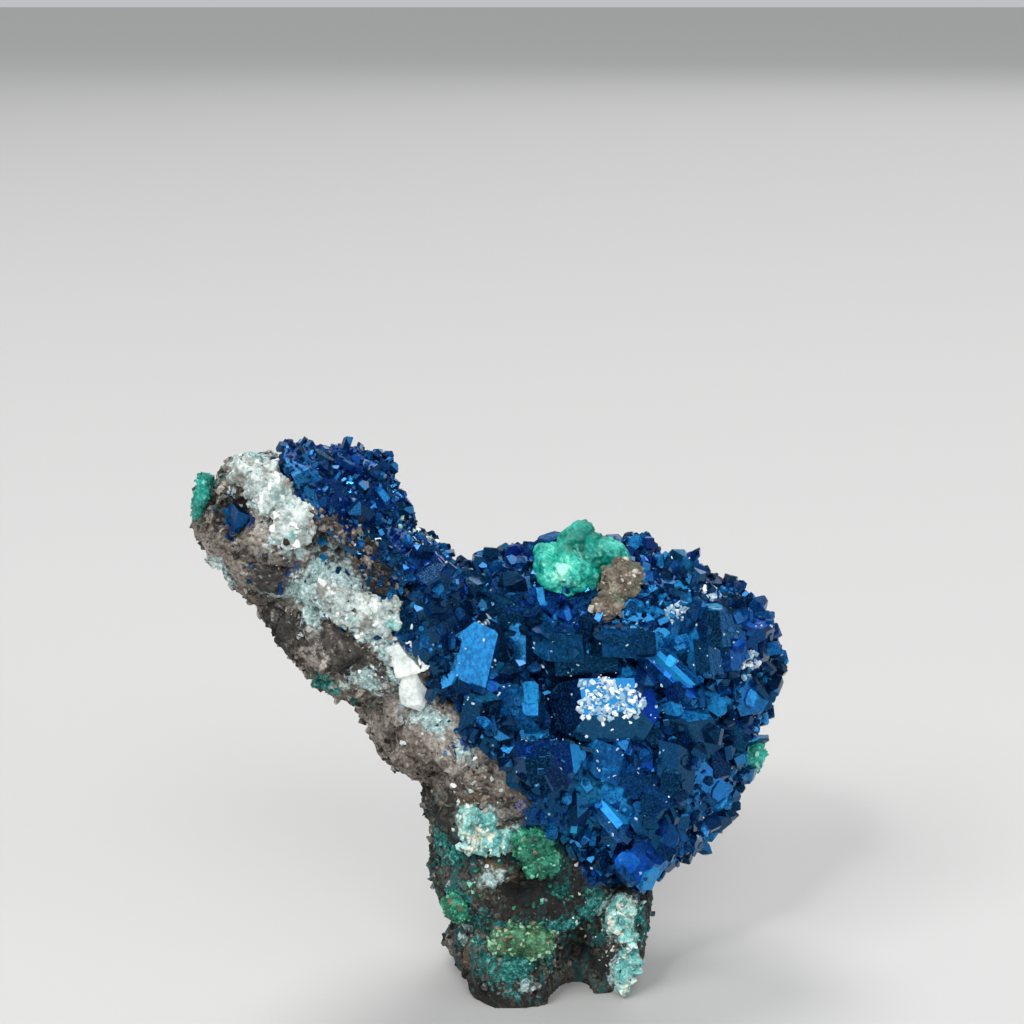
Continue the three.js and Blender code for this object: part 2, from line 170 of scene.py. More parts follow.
def gossan_relief():
    """Swells, crumbs, pores and cracks pushed into a fine mesh, fading out towards the sawn foot."""
    heights = dict.fromkeys(["Swells", "Crumbs", "Pores", "Cracks"], "Float")
    tree, given = growth_tree("gossan relief", heights)
    place = add(tree, "GeometryNodeInputPosition").outputs[0]

    def cloudy(scale, detail, roughness=0.5, output=0):
        inputs = {"Vector": place, "Scale": scale, "Detail": detail, "Roughness": roughness}
        return add(tree, "ShaderNodeTexNoise", inputs).outputs[output]

    bent = shifted(tree, place, scaled(tree, cloudy(BENDS_PER_METRE, 2.0, output=1), BEND))

    def cells(scale, feature="F1", **more):
        inputs = {"Vector": bent, "Scale": scale, **more}
        return add(tree, "ShaderNodeTexVoronoi", inputs, feature=feature).outputs["Distance"]

    swell = sums(tree, "SUBTRACT", cloudy(SWELLS_PER_METRE, 7.0, 0.62), 0.47)
    push = times(tree, swell, times(tree, given["Swells"], 2.0))
    crumb = stretched(tree, cells(CRUMBS_PER_METRE, Detail=2.0, Roughness=0.6), 0.65, 0.1, -0.3, 0.7)
    patches = stretched(tree, cloudy(CRUMB_PATCHES_PER_METRE, 2.0), 0.38, 0.6, 0.25, 1.0)
    crumb = times(tree, crumb, patches)
    push = sloped(tree, crumb, given["Crumbs"], push)
    pore = stretched(tree, cells(PORES_PER_METRE), 0.42, 0.12)
    pore = times(tree, pore, stretched(tree, cloudy(PORE_PATCHES_PER_METRE, 1.0), 0.53, 0.66))
    push = sloped(tree, pore, times(tree, given["Pores"], -1.0), push)
    crack = stretched(tree, cells(CRACKS_PER_METRE, "DISTANCE_TO_EDGE"), 0.09, 0.0)
    push = sloped(tree, crack, times(tree, given["Cracks"], -1.0), push)
    height = add(tree, "ShaderNodeSeparateXYZ", {0: place}).outputs[2]
    push = times(tree, push, stretched(tree, height, *SAWN_FOOT))
    moved = shifted(tree, place, scaled(tree, add(tree, "GeometryNodeInputNormal").outputs[0], push))
    parts = add(tree, "ShaderNodeSeparateXYZ", {0: moved}).outputs
    whole = {0: parts[0], 1: parts[1], 2: sums(tree, "MAXIMUM", parts[2], 0.0)}
    moved = add(tree, "ShaderNodeCombineXYZ", whole).outputs[0]
    shaped = add(tree, "GeometryNodeSetPosition", {"Geometry": given["Geometry"], "Position": moved})
    add(tree, "NodeGroupOutput", {0: shaped.outputs[0]})
    return tree


def refine(piece, grain):
    """Gives a piece a fine and even mesh."""
    fine = piece.modifiers.new("fine mesh", "REMESH")
    fine.mode = "VOXEL"
    fine.voxel_size = grain


rough_block = welded("matrix_rock", "rough_block")
refine(rough_block, GOSSAN_GRAIN)
gossan = run(gossan_relief(), rough_block, "gossan_block", **GOSSAN_HEIGHTS)
gossan.data.shade_smooth()


def shapes_of(nodes):
    """A search tree over the surfaces of CAD nodes."""
    points, faces = [], []
    for node in nodes:
        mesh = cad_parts[node].data
        start = len(points)
        points += [v.co.copy() for v in mesh.vertices]
        faces += [[start + i for i in p.vertices] for p in mesh.polygons]
    return BVHTree.FromPolygons(points, faces)


def points_of(piece):
    """The place of each point of a mesh, in metres."""
    points = np.empty(3 * len(piece.data.vertices))
    piece.data.vertices.foreach_get("co", points)
    return points.reshape(-1, 3)


def paint(piece, name, values):
    """A number at each point of a mesh, in place of any of that name."""
    layers = piece.data.attributes
    if name in layers:
        layers.remove(layers[name])
    values = np.broadcast_to(values, len(piece.data.vertices))
    layers.new(name, "FLOAT", "POINT").data.foreach_set("value", values.astype(np.float32))


def distances(piece, nodes):
    """How far each point of a piece is from the nearest of some CAD nodes, up to 12 mm."""
    surface = shapes_of(nodes)
    far = 12 * MM
    found = (surface.find_nearest(Vector(point), far)[3] for point in points_of(piece))
    return np.array([far if d is None else d for d in found])


AZURITES = ["azurite_bowl_druse", "azurite_arm_crust", "azurite_pocket_crystals"]
GREENS = [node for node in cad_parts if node.startswith("malachite")]
WHITES = [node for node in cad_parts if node.startswith("white")]
PALES = [*WHITES, "pale_blue_crust", "chrysocolla_right_foot"]
to_azure, to_green, to_pale = [distances(gossan, nodes) for nodes in (AZURITES, GREENS, PALES)]
paint(gossan, "near_blue", np.exp(-to_azure / (2.2 * MM)))
paint(gossan, "near_green", np.exp(-to_green / (1.6 * MM)))
paint(gossan, "near_pale", np.exp(-to_pale / (1.4 * MM)))


def nearness(points, spots):
    """How strongly each point, in mm, belongs to some round spots, each given as a centre and radius."""
    total = np.zeros(len(points))
    for centre, radius in spots:
        total = np.maximum(total, np.exp(-(np.linalg.norm(points - centre, axis=1) / radius) ** 2))
    return total


def weights(piece, spots):
    """The same for each point of a piece."""
    return nearness(points_of(piece) / MM, spots)


# Where the rock is stained: green over the trunk, white and green down its sides, ochre about the trunk.
# The dark patches are partly dark rock and partly painted shade, near black under the arm and its azurite
# crust and in the cleft of the foot.
STAINS_AND_SHADE = {
    "green": [
        ((-13, -7, 22), 6), ((-12, -8, 12), 6), ((2, -11, 9), 6), ((6, -9, 14), 5), ((11, -6, 10), 5),
        ((-6, -12, 5), 5), ((14, 2, 12), 7), ((-14, 6, 26), 7), ((8, 17, 24), 8), ((-20, 9, 44), 8),
        ((-40, 5, 60), 7), ((-6, 13, 10), 8), ((24, 13, 36), 7), ((2, -8, 17), 4), ((-28, -9, 46), 5),
    ],
    "white": [
        ((-27, -14, 60), 6), ((-30, -14, 57), 5), ((-16, -12, 42), 3), ((-8, -11, 18.5), 2),
        ((-13, -5, 8), 2.5), ((9, -8, 12), 2), ((-33, 8, 66), 7), ((10, 17, 44), 7), ((-12, 12, 32), 6),
        ((-3, -12, 3), 1.8), ((-42, -8, 61), 3), ((0, 14, 18), 5), ((28, 8, 42), 5), ((-38, -5, 75), 4),
        ((-14.9, -12.6, 41), 3), ((-11, -12.7, 37), 2.5), ((-23, -12, 47), 3),
    ],
    "ochre": [
        ((-8, -13, 20), 4), ((-10, -12, 29.5), 2.5), ((-9, -13, 27), 3), ((7, -9, 17), 2.5),
        ((-20, 8, 36), 6), ((2, 17, 34), 6), ((-38, 3, 68), 5), ((-4, 12, 24), 5), ((16, 16, 52), 4),
        ((-14, -8, 6), 3),
    ],
    "dark": [
        ((-2, -11, 15), 7), ((3, -12, 3), 5), ((-26, -12, 50), 6), ((-28, -13, 63), 4),
        ((-40, -11, 68), 3.5), ((-16, 2, 30), 7), ((12, 10, 20), 8), ((-30, 8, 48), 7),
        ((-8, -8, 2), 4), ((16, 14, 34), 7), ((-35, -12, 60), 3.5), ((-13, -8, 26), 4), ((8, -6, 16), 4),
        ((-12, -8, 9), 3), ((-33, -8, 52), 6), ((6, -9, 5), 4), ((2, -13, 14), 5),
    ],
    "speckled": [
        ((-33, -13, 60), 4.5), ((-37, -12, 63.5), 3), ((-27, -13, 57), 3), ((-34.5, -13, 67), 2),
        ((-37, -12, 72), 2.5), ((-24, -12, 53), 3), ((-21, -12, 58.5), 2.5), ((-30, 6, 70), 6),
        ((-40, -2, 64), 4), ((6, 18, 50), 6), ((-12, -12, 38), 2.5), ((20, 16, 46), 5),
    ],
}  # fmt: skip
stained_and_shaded = {mark: weights(gossan, spots) for mark, spots in STAINS_AND_SHADE.items()}
for mark, strength in stained_and_shaded.items():
    paint(gossan, mark, strength)
heights = points_of(gossan)[:, 2] / MM
paint(gossan, "trunk", np.clip((31 - heights) / 8, 0, 1))
paint(gossan, "shade", 0.44)


def finish_of(name):
    """A new material with its tree and its shader."""
    material = bpy.data.materials.new(name)
    material.use_nodes = True
    tree = material.node_tree
    shader = tree.nodes["Principled BSDF"]
    return material, tree, shader


def painted(tree, name):
    """The number that a piece's points carry under a name."""
    return add(tree, "ShaderNodeAttribute", attribute_name=name).outputs["Fac"]


def colours(tree, value, stops):
    """A colour ramp from stops of (place, colour)."""
    node = add(tree, "ShaderNodeValToRGB", {"Fac": value})
    ramp = node.color_ramp
    while len(ramp.elements) < len(stops):
        ramp.elements.new(0.5)
    for element, (place, colour) in zip(ramp.elements, stops):
        element.position = place
        element.color = (*colour, 1)
    return node.outputs["Color"]


def over(tree, mask, under, top):
    """One colour laid over another where a mask says so."""
    inputs = {0: mask, 6: under, 7: (*top, 1) if isinstance(top, tuple) else top}
    return add(tree, "ShaderNodeMix", inputs, data_type="RGBA").outputs[2]


def noise(tree, place, size, detail=3.0, roughness=0.55):
    """Cloudy noise whose patches are about size metres across."""
    inputs = {"Vector": place, "Scale": 1 / size, "Detail": detail, "Roughness": roughness}
    return add(tree, "ShaderNodeTexNoise", inputs).outputs[0]


def patches_group():
    """Ragged patches: a broad mask broken up by two sizes of noise, more broken at its edges."""
    inputs = dict.fromkeys(["Mask", "Everywhere", "Shift", "Sharpness"], "Float")
    tree, given = new_tree("ShaderNodeTree", "ragged patches", inputs, {"Patches": "Float"})
    place = shifted(tree, placed(tree), given["Shift"])
    broad = noise(tree, place, 3.2 * MM, 4.0, 0.65)
    fine = noise(tree, place, 0.7 * MM, 3.0, 0.6)
    value = sloped(tree, fine, 0.6, broad)
    value = sums(tree, "ADD", value, sloped(tree, given["Mask"], 0.45, given["Everywhere"]))
    value = sums(tree, "SUBTRACT", value, 1.1)
    value = sums(tree, "MULTIPLY_ADD", value, given["Sharpness"], 0.5, clamp=True)
    add(tree, "NodeGroupOutput", {0: value})
    return tree


patches = patches_group()


def ragged(tree, mask, everywhere, shift, sharpness=9.0):
    """A ragged patch mask in a material."""
    inputs = {"Mask": mask, "Everywhere": everywhere, "Shift": shift, "Sharpness": sharpness}
    return add(tree, "ShaderNodeGroup", inputs, node_tree=patches).outputs["Patches"]


def bumpy(tree, height, strength, distance):
    """Fine relief that catches the light."""
    inputs = {"Height": height, "Strength": strength, "Distance": distance}
    return add(tree, "ShaderNodeBump", inputs).outputs[0]


def gossan_finish():
    """Grey-brown rock, streaked with teal down its trunk, under its stains and painted shade, and next to
    its minerals.
    """
    material, tree, shader = finish_of("gossan")
    place = placed(tree)
    broad = noise(tree, place, 5 * MM, 5.0, 0.6)
    grain = noise(tree, place, 0.5 * MM, 4.0, 0.7)
    mixed = sloped(tree, grain, 0.6, times(tree, broad, 0.5))
    own = sloped(tree, painted(tree, "shade"), 0.32, -0.14)
    mixed = sums(tree, "ADD", sloped(tree, painted(tree, "trunk"), -0.15, mixed), own)
    rock = [
        (0.36, (0.013, 0.011, 0.01)), (0.47, (0.085, 0.07, 0.058)),
        (0.57, (0.21, 0.185, 0.16)), (0.72, (0.46, 0.43, 0.39)),
    ]  # fmt: skip
    colour = colours(tree, mixed, rock)
    upright = add(tree, "ShaderNodeMapping", {"Vector": place, "Scale": (1.0, 1.0, 0.2)}).outputs[0]
    streaks = stretched(tree, noise(tree, upright, 1.1 * MM, 5.0, 0.7), 0.51, 0.57)
    streaks = times(tree, streaks, painted(tree, "trunk"))
    colour = over(tree, times(tree, streaks, 0.8), colour, (0.008, 0.1, 0.1))
    teals = [(0.35, (0.0, 0.035, 0.04)), (0.52, (0.012, 0.16, 0.145)), (0.68, (0.16, 0.5, 0.44))]
    teals = colours(tree, grain, teals)
    chalks = [(0.35, (0.12, 0.24, 0.25)), (0.55, (0.42, 0.56, 0.55)), (0.7, (0.85, 0.88, 0.85))]
    chalks = colours(tree, grain, chalks)
    for mark, everywhere, shift, sharpness, strength, top in [
        ("ochre", 0.02, 0.31, 9.0, 0.6, (0.17, 0.105, 0.05)),
        # The near-black layer is partly dark rock and partly painted shade, under the arm and in the foot's
        # cleft.
        ("dark", 0.06, 0.57, 9.0, 0.8, (0.012, 0.012, 0.012)),
        ("green", -0.06, 0.13, 12.0, 1.0, teals),
        ("white", 0.02, 0.83, 7.0, 1.0, chalks),
        ("near_green", -0.05, 0.41, 9.0, 1.0, teals),
        ("near_pale", 0.0, 0.71, 9.0, 1.0, chalks),
    ]:
        mask = ragged(tree, painted(tree, mark), everywhere, shift, sharpness)
        colour = over(tree, times(tree, mask, strength), colour, top)
    blue = ragged(tree, painted(tree, "near_blue"), -0.1, 0.23, 12.0)
    specks = ragged(tree, painted(tree, "speckled"), -0.2, 0.93, 16.0)
    blue = sums(tree, "MAXIMUM", blue, specks)
    blues = [(0.35, (0.001, 0.006, 0.03)), (0.55, (0.002, 0.035, 0.2)), (0.7, (0.015, 0.2, 0.5))]
    looks = {
        "Base Color": over(tree, blue, colour, colours(tree, grain, blues)),
        "Roughness": sloped(tree, blue, -0.45, 0.92),
        "Specular IOR Level": 0.35,
        "Normal": bumpy(tree, noise(tree, place, 0.22 * MM, 5.0, 0.75), 0.75, 0.16 * MM),
    }
    wire(tree, shader, looks)
    return material


def collected(name, objects):
    """A collection of shapes to sow, which is never shown itself."""
    group = bpy.data.collections.new(name)
    for item in objects:
        group.objects.link(item)
    return group


def flat_faced(name, shape):
    """A finished bmesh as a flat-faced object. It isn't in the scene itself."""
    mesh = bpy.data.meshes.new(name)
    shape.to_mesh(mesh)
    shape.free()
    mesh.shade_flat()
    return bpy.data.objects.new(name, mesh)


def fragment(name, seed):
    """One broken fragment of unit size: the hull of a few points near a ball."""
    random = np.random.default_rng(seed)
    shape = bmesh.new()
    for spot in random.normal(size=(10, 3)):
        shape.verts.new(spot / np.linalg.norm(spot) * random.uniform(0.8, 1.1) / 2)
    bmesh.ops.convex_hull(shape, input=shape.verts)
    return flat_faced(name, shape)


MOST_PER_SQUARE_METRE = 6e6


def sowing():
    """Sows the shapes of a collection over a bed where its points say so, smaller ones being commoner."""
    numbers = ["Spacing", "Smallest", "Largest", "Lean", "Spin", "Darkest", "Palest", "Inherited"]
    sockets = {"Shapes": "Collection", "Finish": "Material", "Seed": "Int"}
    tree, given = growth_tree("sowing", sockets | dict.fromkeys(numbers, "Float"))
    tree.interface.items_tree["Spin"].default_value = math.pi

    def carried(name, kind="FLOAT"):
        return add(tree, "GeometryNodeInputNamedAttribute", {"Name": name}, data_type=kind).outputs[0]

    def chance(low, high, seed):
        inputs = {2: low, 3: high, "Seed": seed}
        return add(tree, "FunctionNodeRandomValue", inputs, data_type="FLOAT").outputs[1]

    def chances(low, high, seed):
        inputs = {0: low, 1: high, "Seed": seed}
        return add(tree, "FunctionNodeRandomValue", inputs, data_type="FLOAT_VECTOR").outputs[0]

    spots = {
        "Mesh": given["Geometry"],
        "Distance Min": given["Spacing"],
        "Density Max": MOST_PER_SQUARE_METRE,
        "Density Factor": carried("growth"),
        "Seed": given["Seed"],
    }
    sown = add(tree, "GeometryNodeDistributePointsOnFaces", spots, distribute_method="POISSON").outputs
    spread = sums(tree, "POWER", chance(0.0, 1.0, given["Seed"]), 2.2)
    scale = stretched(tree, spread, 0.0, 1.0, given["Smallest"], given["Largest"])
    scale = times(tree, scale, carried("size"))
    scale = scaled(tree, chances((0.75, 0.75, 0.75), (1.25, 1.25, 1.25), 21), scale)
    minus = times(tree, given["Lean"], -1.0)
    back = times(tree, given["Spin"], -1.0)
    low = add(tree, "ShaderNodeCombineXYZ", {0: minus, 1: minus, 2: back}).outputs[0]
    high = {0: given["Lean"], 1: given["Lean"], 2: given["Spin"]}
    high = add(tree, "ShaderNodeCombineXYZ", high).outputs[0]
    turn = add(tree, "FunctionNodeEulerToRotation", {0: chances(low, high, 7)}).outputs[0]
    lined = {"Rotation": sown["Rotation"], "Vector": carried("length", "FLOAT_VECTOR")}
    lined = add(tree, "FunctionNodeAlignRotationToVector", lined, axis="X", pivot_axis="Z").outputs[0]
    turn = add(tree, "FunctionNodeRotateRotation", {0: lined, 1: turn}, rotation_space="LOCAL").outputs[0]
    shapes = {"Collection": given["Shapes"], "Separate Children": True, "Reset Children": True}
    shapes = add(tree, "GeometryNodeCollectionInfo", shapes).outputs[0]
    stand = {"Points": sown["Points"], "Instance": shapes, "Pick Instance": True, "Rotation": turn}
    stood = add(tree, "GeometryNodeInstanceOnPoints", {**stand, "Scale": scale}).outputs[0]
    shade = sums(tree, "POWER", chance(0.0, 1.0, 3), 1.5)
    shade = stretched(tree, shade, 0.0, 1.0, given["Darkest"], given["Palest"])
    shade = sloped(tree, carried("shade"), given["Inherited"], shade)
    stored = {"Geometry": stood, "Name": "shade", "Value": shade}
    stood = add(tree, "GeometryNodeStoreNamedAttribute", stored, data_type="FLOAT", domain="INSTANCE")
    real = add(tree, "GeometryNodeRealizeInstances", {0: stood.outputs[0]}).outputs[0]
    made = add(tree, "GeometryNodeSetMaterial", {"Geometry": real, "Material": given["Finish"]}).outputs[0]
    add(tree, "NodeGroupOutput", {0: made})
    return tree


sow = sowing()
fragments = collected("fragments", [fragment(f"fragment {seed}", seed) for seed in range(1, 6)])


def sown(bed, name, finish, slot, grains, growth, size=1.0, shapes=fragments, shades=(0, 1), **more):
    """Small shapes sown over a bed: grains are their spacing, smallest and largest size in mm."""
    paint(bed, "growth", growth)
    paint(bed, "size", size)
    spacing, smallest, largest = [grain * MM for grain in grains]
    inputs = {"shapes": shapes, "finish": finish, "lean": 1.2}
    inputs |= {"spacing": spacing, "smallest": smallest, "largest": largest}
    inputs |= {"darkest": float(shades[0]), "palest": float(shades[1])}
    piece = run(sow, bed, name, **inputs | more)
    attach(piece, "root")
    return piece


gossan_look = gossan_finish()
gossan.data.materials.clear()
gossan.data.materials.append(gossan_look)
bpy.data.objects.remove(rough_block)
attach(gossan, "root")
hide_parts("matrix_rock")
hidden = distances(gossan, ["azurite_bowl_druse", "azurite_arm_crust"]) < 1.2 * MM
crumbly = np.where(hidden, 0, np.clip((heights - 1) / 2, 0, 1) * 0.42)
fallen = np.clip(0.5 + 0.25 * heights, 0, 1)
sown(gossan, "gossan_crumbs", gossan_look, "gossan", (0.55, 0.4, 1.6), crumbly, fallen, seed=4)


# ---------------------------------------------------------------- the azurite bowl
# The right lobe is covered with azurite: blades and blocks up to 15 mm long, grown into each other,
# with smaller crystals packed between them. Each large crystal has its own depth of blue.
# Each row: where the crystal is on the front (x, z) in mm, its depth of blue from 0 for navy to 1
# for pale, its greenness, and how far it leans over clockwise. A face further than CRYSTAL_REACH from
# all of them, or behind FRONT_DEPTH, belongs to a crystal of a blue and lean of its own.
CRYSTAL_REACH = 5.5
FRONT_DEPTH = 7
# Faces within this distance of the rock lie down between the crystals and get painted shade.
SHADED_NEAR_ROCK = 1.85 * MM  # so close to the rock, all but the pale crystals are navy
EDGE_BEVEL = 0.09 * MM
LARGE_CRYSTALS = [
    (-10.4, 48.8, 0.72, 0, 14), (-14.2, 47.5, 0.42, 0, -8), (-6.6, 51, 0.1, 0, 40),
    (-16, 58, 0.5, 0, 25), (-12.4, 55, 0.55, 0.1, -25), (-9.4, 41.4, 0.62, 0.6, 10),
    (-5, 40.6, 0.74, 0.1, 5), (-5.4, 44.8, 0.9, 0, -35), (-8, 52.6, 0.6, 0.5, 15),
    (-4, 47.6, 0.5, 0.3, 0), (-1.8, 45, 0.25, 0.2, 58), (-1.6, 51.6, 0.78, 0.3, -10),
    (-3, 56, 0.45, 0, -12), (5.4, 46, 0.16, 0.2, -4), (7.2, 39.6, 0.42, 0.55, -9),
    (15.4, 43.8, 0.95, 0, -48), (19.6, 40.4, 0.85, 0, -55), (16.8, 49.6, 0.85, 0.1, 8),
    (21.4, 47.4, 0.28, 0.1, -6), (27, 45.4, 0.6, 0, 8), (24.8, 40, 0.36, 0, 30), (24, 35.6, 0.5, 0, 20),
    (17.4, 38, 0.22, 0, -20), (18.4, 55.6, 0.72, 0.4, 12), (12.4, 57.6, 0.6, 0.6, -15),
    (-1, 35, 0.08, 0, -8), (3.4, 31.4, 0.78, 0.4, -28), (7.2, 28, 0.95, 0, -44), (4, 26, 0.72, 0.5, 20),
    (11.6, 21.4, 0.84, 0, 42), (12.2, 31, 0.66, 0, -50), (19.4, 31.6, 0.9, 0, -42),
    (15.4, 33.8, 0.12, 0, 5), (7, 34.6, 0.8, 0, 15), (14.8, 26, 0.55, 0, 10), (6, 19.8, 0.4, 0, 0),
    (-0.4, 28.6, 0.1, 0, 10),
]  # fmt: skip


def facets_of(piece):
    """Joins the triangles of each flat crystal face into one face, shaded flat."""
    shape = bmesh.new()
    shape.from_mesh(piece.data)
    bmesh.ops.dissolve_limit(shape, angle_limit=0.012, verts=shape.verts, edges=shape.edges)
    sharp = [e for e in shape.edges if e.calc_length() > 0.7 * MM and abs(e.calc_face_angle(0)) > 0.4]
    sharp = [e for e in sharp if min(f.calc_area() for f in e.link_faces) > MM**2]
    bmesh.ops.bevel(shape, geom=sharp, offset=EDGE_BEVEL, segments=1, affect="EDGES", clamp_overlap=True)
    shape.to_mesh(piece.data)
    shape.free()
    piece.data.shade_flat()


def face_layer(piece, name, values, kind="FLOAT"):
    """A number or direction for each face of a mesh."""
    layer = piece.data.attributes.new(name, kind, "FACE")
    field = "value" if kind == "FLOAT" else "vector"
    layer.data.foreach_set(field, np.asarray(values, dtype=np.float32).ravel())


# Where the blue is purer and deeper, as royal blue, each with a centre and radius in mm.
ROYAL_PATCHES = [
    ((2, -1, 52), 5), ((12.5, -10, 41), 2.6), ((0, -11, 35.5), 4), ((-13, -11, 43), 2.5),
    ((13, -9, 24), 3.5), ((-15, -5, 58), 4.5), ((26, -2, 49), 3), ((24, 2, 36), 4), ((18, 8, 52), 4),
    ((-8, 8, 57), 4),
]  # fmt: skip


def royalty(points):
    """How far some places, in mm, have the royal blue."""
    royal = np.array([noises.noise(Vector(point) / 3.1) for point in points]) * 1.2
    for centre, radius in ROYAL_PATCHES:
        royal += 0.7 * np.exp(-(np.linalg.norm(points - centre, axis=1) / radius) ** 2)
    return np.clip(royal, 0, 1)


def colour_facets(piece, seed):
    """Gives each face the blue of its crystal, a little of its own, painted light that makes faces turned
    upwards and to the right paler and those turned down and to the left darker, painted shade on faces down
    by the rock, a painted highlight on the edge bevels, and the way its crystal lies.
    """
    random = np.random.default_rng(seed)
    places = np.array([(x, z) for x, z, *_ in LARGE_CRYSTALS])
    rock = shapes_of(["matrix_rock"])
    blues, greens, lengths = [], [], []
    for face in piece.data.polygons:
        centre = np.array(face.center) / MM
        gaps = np.hypot(places[:, 0] - centre[0], places[:, 1] - centre[2])
        nearest = int(np.argmin(gaps))
        _, _, blue, green, lean = LARGE_CRYSTALS[nearest]
        if gaps[nearest] > CRYSTAL_REACH or centre[1] > FRONT_DEPTH:
            blue, green, lean = random.uniform(0.1, 0.8), random.uniform(0, 0.4), random.uniform(-60, 60)
        # Painted light: faces turned upwards and to the right are made paler, faces turned down and to the
        # left darker.
        painted_light = 0.12 * face.normal[0] + 0.16 * face.normal[2]
        # Painted shade: apart from the pale crystals, faces down by the rock between the crystals are made
        # navy.
        if blue < 0.65 and rock.find_nearest(face.center)[3] < SHADED_NEAR_ROCK:
            blue, green = min(blue, 0.3), 0
        blues.append(blue + painted_light + random.uniform(-0.34, 0.3))
        corners = [piece.data.vertices[corner].co for corner in face.vertices]
        longest = max((one - other).length for one, other in itertools.combinations(corners, 2))
        # Painted highlight: the narrow bevel faces along the crystal edges are made paler.
        if face.area < 0.15 * MM * longest:
            blues[-1] += 0.3
        greens.append(green)
        lengths.append((math.sin(math.radians(lean)), -0.2, math.cos(math.radians(lean))))
    face_layer(piece, "shade", blues)
    face_layer(piece, "teal", greens)
    face_layer(piece, "length", lengths, "FLOAT_VECTOR")
    face_layer(piece, "royal", royalty(np.array([face.center / MM for face in piece.data.polygons])))


def facet_group():
    """What the faces of a crystal carry: streaks along its length, low growth steps and clouding."""
    outputs = dict.fromkeys(["Height", "Clouding", "Dulling", "Streaks"], "Float")
    inputs = {"Length": "Vector", "Size": "Float"}
    tree, given = new_tree("ShaderNodeTree", "crystal faces", inputs, outputs)
    place = placed(tree)
    frequency = sums(tree, "DIVIDE", 1.0, given["Size"])

    def cloudy(spot, scale, detail, roughness):
        scale = times(tree, frequency, scale)
        inputs = {"Vector": spot, "Scale": scale, "Detail": detail, "Roughness": roughness}
        return add(tree, "ShaderNodeTexNoise", inputs).outputs[0]

    sides = {0: place, 1: given["Length"]}
    along = add(tree, "ShaderNodeVectorMath", sides, operation="DOT_PRODUCT").outputs["Value"]
    drawn = shifted(tree, place, scaled(tree, given["Length"], times(tree, along, -0.93)))
    streaks = cloudy(drawn, 5.0, 3.0, 0.7)
    steps = sums(tree, "SNAP", cloudy(drawn, 0.9, 1.5, 0.5), 0.09)
    clouds = cloudy(place, 2.6, 6.0, 0.75)
    dulls = cloudy(place, 7.0, 4.0, 0.75)
    height = sloped(tree, streaks, 0.3, times(tree, steps, 1.6))
    height = sloped(tree, dulls, 0.12, height)
    outputs = {0: height, 1: stretched(tree, clouds, 0.3, 0.7), 2: stretched(tree, dulls, 0.45, 0.7)}
    add(tree, "NodeGroupOutput", {**outputs, 3: stretched(tree, streaks, 0.35, 0.65)})
    return tree


crystal_faces = facet_group()


def azurite_finish(name, size, shift, least_rough, lengths=True):
    """Azurite: deep blue and glassy, paler and duller where its faces are etched or clouded."""
    material, tree, shader = finish_of(name)
    length = (0.3, -0.4, 0.85)
    if lengths:
        length = add(tree, "ShaderNodeAttribute", attribute_name="length").outputs["Vector"]
    faces = add(tree, "ShaderNodeGroup", {"Size": size, "Length": length}, node_tree=crystal_faces).outputs
    depth = sums(tree, "ADD", painted(tree, "shade"), shift)
    depth = sums(tree, "ADD", depth, sloped(tree, faces["Clouding"], 0.36, -0.18))
    depth = sums(tree, "ADD", depth, sloped(tree, faces["Streaks"], 0.16, -0.08))
    blues = [
        (0.0, (0.0003, 0.0015, 0.008)),
        (0.35, (0.0005, 0.005, 0.026)),
        (0.6, (0.001, 0.014, 0.075)),
        (0.8, (0.002, 0.055, 0.2)),
        (1.0, (0.012, 0.2, 0.46)),
    ]
    royals = [(0.0, (0.0005, 0.001, 0.02)), (0.5, (0.001, 0.006, 0.11)), (1.0, (0.003, 0.04, 0.38))]
    greens = [(0.0, (0.0006, 0.005, 0.01)), (0.5, (0.001, 0.045, 0.085)), (1.0, (0.02, 0.24, 0.33))]
    royal = sloped(tree, faces["Clouding"], 0.3, painted(tree, "royal"))
    royal = stretched(tree, royal, 0.5, 0.85)
    colour = over(tree, royal, colours(tree, depth, blues), colours(tree, depth, royals))
    colour = over(tree, painted(tree, "teal"), colour, colours(tree, depth, greens))
    frost = times(tree, faces["Dulling"], 0.16)
    looks = {
        "Base Color": over(tree, frost, colour, (0.05, 0.25, 0.5)),
        "Roughness": sloped(tree, faces["Dulling"], 0.2, least_rough),
        "IOR": 1.78,
        "Specular IOR Level": 0.7,
        "Specular Tint": (0.05, 0.42, 1.0, 1),
        "Normal": bumpy(tree, faces["Height"], 0.4, 0.1 * size),
    }
    wire(tree, shader, looks)
    return material


bowl = welded("azurite_bowl_druse", "azurite_bowl_crystals")
facets_of(bowl)
colour_facets(bowl, 5)
bowl.data.materials.append(azurite_finish("azurite", 2.2 * MM, -0.08, 0.04))
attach(bowl, "root")
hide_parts("azurite_bowl_druse")


# The ways that a crystal's faces look, each with another face opposite.
CRYSTAL_LOOKS = [
    (0.74, 0.67, 0), (-0.74, 0.67, 0), (0, 1, 0), (0.12, 0, 1), (0.58, 0, 0.81), (-0.76, 0, 0.65),
]  # fmt: skip


